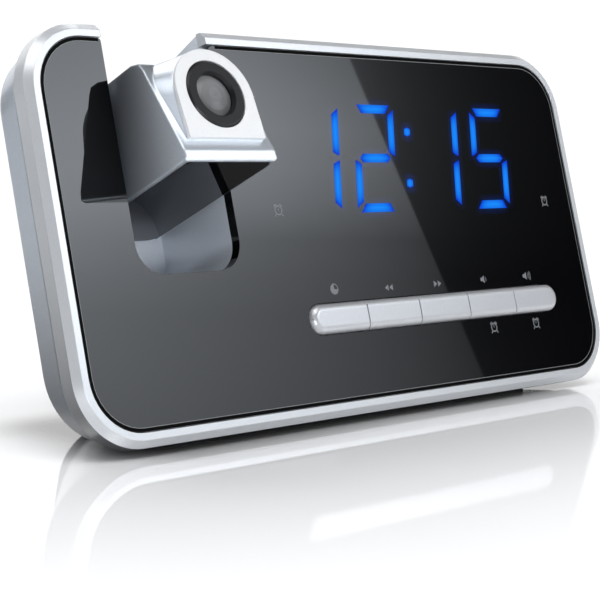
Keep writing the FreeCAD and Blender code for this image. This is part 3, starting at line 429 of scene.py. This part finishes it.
marks = ring_shape(CLOCK_MID, 1.55, 1.5, 95, 355, 16) + ring_shape(CLOCK_MID, 1.55, 0.3, -5, 95, 6)
for across, turn in ARROWS:
    marks += [triangle((across + shift, ARROW_LEVEL), 0.95, turn) for shift in (-0.9, 0.9)]
for across, waves in SPEAKERS:
    marks += speaker(across, waves)
for mid in ALARM_MIDS:
    marks += alarm_clock(mid)
ink = plastic("icon_ink", (0.115, 0.12, 0.13), 0.5, 2500.0, 0.1, 0.05)
flat_mesh("printed_marks", marks, SURFACE - 0.005, ink)


# Dark line round the face panel with a thin painted highlight (a glint) inside it, both broken at the
# projector notch
NOTCH_MID = -63.7
NOTCH_HALF = 17.4
NOTCH_LEFT_END = NOTCH_MID - NOTCH_HALF - 0.8
NOTCH_RIGHT_END = NOTCH_MID + NOTCH_HALF + 3.2
STRAIGHT_UP = 40


def rounded_path(half_wide, half_tall, radius, steps=10):
    path = []
    for corner, (sx, sy) in enumerate(((1, 1), (-1, 1), (-1, -1), (1, -1))):
        for step in range(steps + 1):
            angle = math.radians(90 * corner + 90 * step / steps)
            path.append((sx * (half_wide - radius) + radius * math.cos(angle),
                         sy * (half_tall - radius) + radius * math.sin(angle)))
    return path


def edge_band(outside, inside):
    """Quads between two paths, with the one over the notch split into its two ends."""
    quads = []
    for index in range(len(outside)):
        after = (index + 1) % len(outside)
        a, b, c, d = outside[index], outside[after], inside[after], inside[index]
        over_notch = a[0] > NOTCH_MID + NOTCH_HALF and b[0] < NOTCH_MID - NOTCH_HALF
        if over_notch and min(a[1], b[1]) > STRAIGHT_UP:
            quads.append([a, (NOTCH_RIGHT_END, b[1]), (NOTCH_RIGHT_END, c[1]), d])
            quads.append([(NOTCH_LEFT_END, a[1]), b, c, (NOTCH_LEFT_END, d[1])])
        else:
            quads.append([a, b, c, d])
    return quads


outer = rounded_path(101.66, 49.71, 14.2)
inner = rounded_path(100.8, 48.85, 13.35)
light = rounded_path(100.62, 48.67, 13.2)
edge_dark = plastic("edge_dark", (0.004, 0.004, 0.004), 0.6, 900.0, 0.1, 0.05)
edge_glint_paint = plastic("edge_glint_paint", (0.13, 0.135, 0.14), 0.5, 900.0, 0.1, 0.05)
set_specular(edge_dark, 0.0)
flat_mesh("panel_edge_glint", edge_band(inner, light), SURFACE - 0.012, edge_glint_paint)
flat_mesh("panel_edge_line", edge_band(outer, inner), SURFACE - 0.01, edge_dark)


# Stage: pale floor, white backdrops and cards that only mirror-like surfaces see
STAGE_LEFT = -6
STAGE_RIGHT = 6
STAGE_FRONT = -6
STAGE_BACK = 3.2
WALL_FOOT = -0.5
WALL_TOP = 4.0
FOOT_SHIFT = (0.003, 0.003, 0)
FOOT_HALF = (0.070, 0.018, 0)
MIRROR_REACH = 0.22
CONTACT_SHADOW_REACH = 0.034
WHITE_FROM = 0.16
WHITE_FULL = 0.42


def plane(name, corners, mat):
    mesh = bpy.data.meshes.new(name)
    mesh.from_pydata([Vector(corner) for corner in corners], [], [(0, 1, 2, 3)])
    mesh.materials.append(mat)
    obj = bpy.data.objects.new(name, mesh)
    bpy.context.scene.collection.objects.link(obj)
    return obj


def glossy_only(obj):
    obj.visible_camera = False
    obj.visible_diffuse = False
    obj.visible_shadow = False
    obj.visible_transmission = False


def distance_from_foot(tree, place):
    """Socket with the distance from the box that the clock stands on."""
    shifted = add_node(tree, "VectorMath", {0: place, 1: FOOT_SHIFT}, operation="ADD")
    mirrored = add_node(tree, "VectorMath", {0: shifted.outputs["Vector"]}, operation="ABSOLUTE")
    past = add_node(tree, "VectorMath", {0: mirrored.outputs["Vector"], 1: FOOT_HALF}, operation="SUBTRACT")
    outside = add_node(tree, "VectorMath", {0: past.outputs["Vector"], 1: (0, 0, 0)}, operation="MAXIMUM")
    return add_node(tree, "VectorMath", {0: outside.outputs["Vector"]}, operation="LENGTH").outputs["Value"]


def floor_paint():
    """Pale gloss floor: its mirror fades with distance, and a painted contact shadow darkens it softly at
    the clock's foot.
    """
    mat = new_material("floor_pale", (0.90, 0.90, 0.91), 0.9)
    add_noise(mat, 4.0, (0.89, 0.89, 0.90), (0.92, 0.92, 0.925))
    set_specular(mat, 0.0)
    tree = mat.node_tree
    place = object_place(tree)
    away = distance_from_foot(tree, place)
    # Painted contact shadow: the floor colour darkens towards the box the clock stands on
    scale_color(mat, ranged(tree, away, 0.0, CONTACT_SHADOW_REACH, 0.12, 1.0, "SMOOTHERSTEP"))
    mirror = add_node(tree, "BsdfGlossy", {"Color": (1.0, 1.0, 1.0, 1.0), "Roughness": 0.035})
    blend = add_node(tree, "MixShader", {
        "Fac": ranged(tree, away, 0.0, MIRROR_REACH, 0.42, 0.01),
        1: shader_of(mat).outputs["BSDF"], 2: mirror.outputs["BSDF"]})
    # The far floor meets the white background for the camera
    far = add_node(tree, "VectorMath", {0: place}, operation="LENGTH").outputs["Value"]
    camera_ray = add_node(tree, "LightPath").outputs["Is Camera Ray"]
    white_share = ranged(tree, far, WHITE_FROM, WHITE_FULL, 0.0, 1.0, "SMOOTHSTEP")
    seen_share = add_node(tree, "Math", {0: white_share, 1: camera_ray}, operation="MULTIPLY")
    white = add_node(tree, "Emission", {"Strength": PAPER_WHITE})
    final = add_node(tree, "MixShader", {
        "Fac": seen_share.outputs["Value"], 1: blend.outputs["Shader"], 2: white.outputs["Emission"]})
    tree.links.new(final.outputs["Shader"], tree.nodes["Material Output"].inputs["Surface"])
    return mat


plane("floor", [(STAGE_LEFT, STAGE_FRONT, 0), (STAGE_RIGHT, STAGE_FRONT, 0),
                (STAGE_RIGHT, STAGE_BACK, 0), (STAGE_LEFT, STAGE_BACK, 0)], floor_paint())
plane("backdrop", [(STAGE_LEFT - 1, STAGE_BACK, WALL_FOOT), (STAGE_RIGHT + 1, STAGE_BACK, WALL_FOOT),
                   (STAGE_RIGHT + 1, STAGE_BACK, WALL_TOP), (STAGE_LEFT - 1, STAGE_BACK, WALL_TOP)],
      emitter("backdrop_white", (1, 1, 1), PAPER_WHITE))
side_wall = plane("backdrop_right",
                  [(STAGE_RIGHT, STAGE_FRONT, WALL_FOOT), (STAGE_RIGHT, STAGE_BACK, WALL_FOOT),
                   (STAGE_RIGHT, STAGE_BACK, WALL_TOP), (STAGE_RIGHT, STAGE_FRONT, WALL_TOP)],
                  emitter("side_white", (1, 1, 1), PAPER_WHITE))
side_wall.visible_glossy = False


# Card that gives the sheen on the face, laid out by the image points where the face mirrors it
CARD_MIDDLE = (260, 240)
CARD_DISTANCE = 0.9
CARD_LEFT = -40
CARD_ROWS = (20, 460)
CARD_CELLS = 12
CARD_STRENGTH = 22.0
CARD_TINT = (0.93, 0.99, 1.06)
PAST_EDGE = 300.0
EDGE_HIGH = (350, 58)
EDGE_LOW = (481, 369)


def mirrored_ray(px, py):
    """Where the ray of an image point meets the face, and the way it goes on from there."""
    middle = PHOTO_PX / 2
    ray = (RIGHT * ((px - middle) / FOCAL_PX) - UPWARD * ((py - middle) / FOCAL_PX) + AIM).normalized()
    reach = (FACE_MID - EYE).dot(FACE_OUT) / ray.dot(FACE_OUT)
    return EYE + ray * reach, ray - FACE_OUT * (2 * ray.dot(FACE_OUT))


def card_point(px, py):
    """Point of the card that is mirrored at an image point."""
    middle_hit, card_way = mirrored_ray(*CARD_MIDDLE)
    card_mid = middle_hit + card_way * CARD_DISTANCE
    hit, ray = mirrored_ray(px, py)
    return hit + ray * ((card_mid - hit).dot(card_way) / ray.dot(card_way))


def sheen_edge(py):
    """Image column of the sheen's sloping edge in one image row."""
    return EDGE_HIGH[0] + (py - EDGE_HIGH[1]) * (EDGE_LOW[0] - EDGE_HIGH[0]) / (EDGE_LOW[1] - EDGE_HIGH[1])


def sheen(near, py):
    """Brightness inside the sheen, by the distance from its edge and the image row."""
    tall = 0.25 - 0.00055 * max(0.0, 160 - py) - 0.0011 * min(100.0, max(0.0, py - 200))
    tall -= 0.0003 * max(0.0, py - 300)
    low = min(1.0, max(0.0, (py - 120) / 120))
    upper_part = min(1.0, 0.45 + 0.0035 * near)
    lower_part = min(1.0, 0.14 + 0.0022 * near)
    return tall * (upper_part * (1 - low) + lower_part * low)


def glimmer(past, py):
    """Faint light past the sheen's edge."""
    return 0.032 * math.exp(-past / 65.0) * max(0.15, 1.0 - max(0.0, py - 80) / 220)


card_verts = []
card_values = []
for inside in (True, False):
    for row in range(CARD_CELLS + 1):
        py = CARD_ROWS[0] + (CARD_ROWS[1] - CARD_ROWS[0]) * row / CARD_CELLS
        edge = sheen_edge(py)
        for column in range(CARD_CELLS + 1):
            if inside:
                px = CARD_LEFT + (edge - CARD_LEFT) * column / CARD_CELLS
                card_values.append(sheen(edge - px, py))
            else:
                px = edge + PAST_EDGE * column / CARD_CELLS
                card_values.append(glimmer(px - edge, py))
            card_verts.append(card_point(px, py))
card_faces = []
for start in (0, (CARD_CELLS + 1) ** 2):
    for row in range(CARD_CELLS):
        for column in range(CARD_CELLS):
            first = start + row * (CARD_CELLS + 1) + column
            card_faces.append((first, first + 1, first + CARD_CELLS + 2, first + CARD_CELLS + 1))
card_mesh = bpy.data.meshes.new("mirror_card")
card_mesh.from_pydata(card_verts, [], card_faces)
layer = card_mesh.color_attributes.new("Shade", "FLOAT_COLOR", "POINT")
for index, value in enumerate(card_values):
    layer.data[index].color = (*(value * part for part in CARD_TINT), 1.0)
card_light = emitter("card_light", (1, 1, 1), CARD_STRENGTH)
card_shade = add_node(card_light.node_tree, "Attribute", attribute_name="Shade")
card_emission = [node for node in card_light.node_tree.nodes if node.type == "EMISSION"][0]
card_light.node_tree.links.new(card_shade.outputs["Color"], card_emission.inputs["Color"])
card_mesh.materials.append(card_light)
face_card = bpy.data.objects.new("mirror_card", card_mesh)
bpy.context.scene.collection.objects.link(face_card)
glossy_only(face_card)


# Plain cards and lamps

CARDS = (
    ("side_grey", [(-2.6, 0.3, -0.3), (-1.5, 1.86, -0.3), (-1.5, 1.86, 2.2), (-2.6, 0.3, 2.2)],
     (0.85, 0.92, 1.0), 0.30),
    ("side_dark", [(-1.5, 1.86, -0.3), (-0.7, 3.0, -0.3), (-0.7, 3.0, 2.2), (-1.5, 1.86, 2.2)],
     (0.8, 0.9, 1.0), 0.05),
    ("lens_white", [(0.2, -1.9, 0.85), (1.9, -0.6, 0.85), (2.4, -0.8, 2.2), (0.3, -2.4, 2.2)],
     (1, 1, 1), 0.78),
)
for name, corners, color, strength in CARDS:
    glossy_only(plane(name, corners, emitter(name + "_light", color, strength)))


def area(name, place, target, size, power, color=(1, 1, 1), glossy=True):
    """A rectangular lamp at one place that points at another."""
    lamp = bpy.data.lights.new(name, "AREA")
    lamp.shape = "RECTANGLE"
    lamp.size, lamp.size_y = size
    lamp.energy = power
    lamp.color = color
    obj = bpy.data.objects.new(name, lamp)
    obj.location = place
    obj.rotation_euler = (Vector(target) - Vector(place)).to_track_quat("-Z", "Y").to_euler()
    obj.visible_glossy = glossy
    bpy.context.scene.collection.objects.link(obj)


area("key_top", (-0.35, -0.45, 1.5), (0, 0, 0.05), (1.4, 1.0), 14.0)
area("front_fill", (0.3, -1.4, 0.3), (0, 0, 0.05), (1.0, 0.6), 9.0, glossy=False)
area("well_fill", (-0.35, -0.6, 0.03), (-0.06, 0, 0.055), (0.25, 0.12), 1.6, (0.9, 0.95, 1.0))
area("left_back", (-1.3, 0.8, 0.9), (0, 0, 0.08), (0.7, 0.9), 3.0, (0.95, 0.97, 1.0))
area("top_back", (0.2, 1.0, 1.3), (0, 0, 0.1), (1.6, 0.6), 7.0)

# World: white for the camera, nearly black in mirrors, soft fill for the rest
world = bpy.data.worlds.new("studio")
bpy.context.scene.world = world
world.use_nodes = True
tree = world.node_tree
tree.nodes.clear()
rays = add_node(tree, "LightPath")
seen = add_node(tree, "Background", {"Color": (1.0, 1.0, 1.0, 1.0), "Strength": PAPER_WHITE})
lit = add_node(tree, "Background", {"Color": (0.95, 0.97, 1.0, 1.0), "Strength": 0.45})
mirror = add_node(tree, "Background", {"Color": (0.004, 0.004, 0.005, 1.0), "Strength": 1.0})
unseen = add_node(tree, "MixShader", {
    "Fac": rays.outputs["Is Glossy Ray"], 1: lit.outputs["Background"], 2: mirror.outputs["Background"]})
sky = add_node(tree, "MixShader", {
    "Fac": rays.outputs["Is Camera Ray"], 1: unseen.outputs["Shader"], 2: seen.outputs["Background"]})
add_node(tree, "OutputWorld", {"Surface": sky.outputs["Shader"]})

# Camera
camera_data = bpy.data.cameras.new("photo_camera")
camera_data.sensor_width = 36.0
camera_data.lens = FOCAL_PX / PHOTO_PX * camera_data.sensor_width
camera_data.clip_start = 0.01
camera = bpy.data.objects.new("photo_camera", camera_data)
turn = Matrix((RIGHT, UPWARD, -AIM)).transposed().to_4x4()
camera.matrix_world = Matrix.Translation(EYE) @ turn
bpy.context.scene.collection.objects.link(camera)
bpy.context.scene.camera = camera
bpy.context.scene.view_settings.view_transform = "Standard"
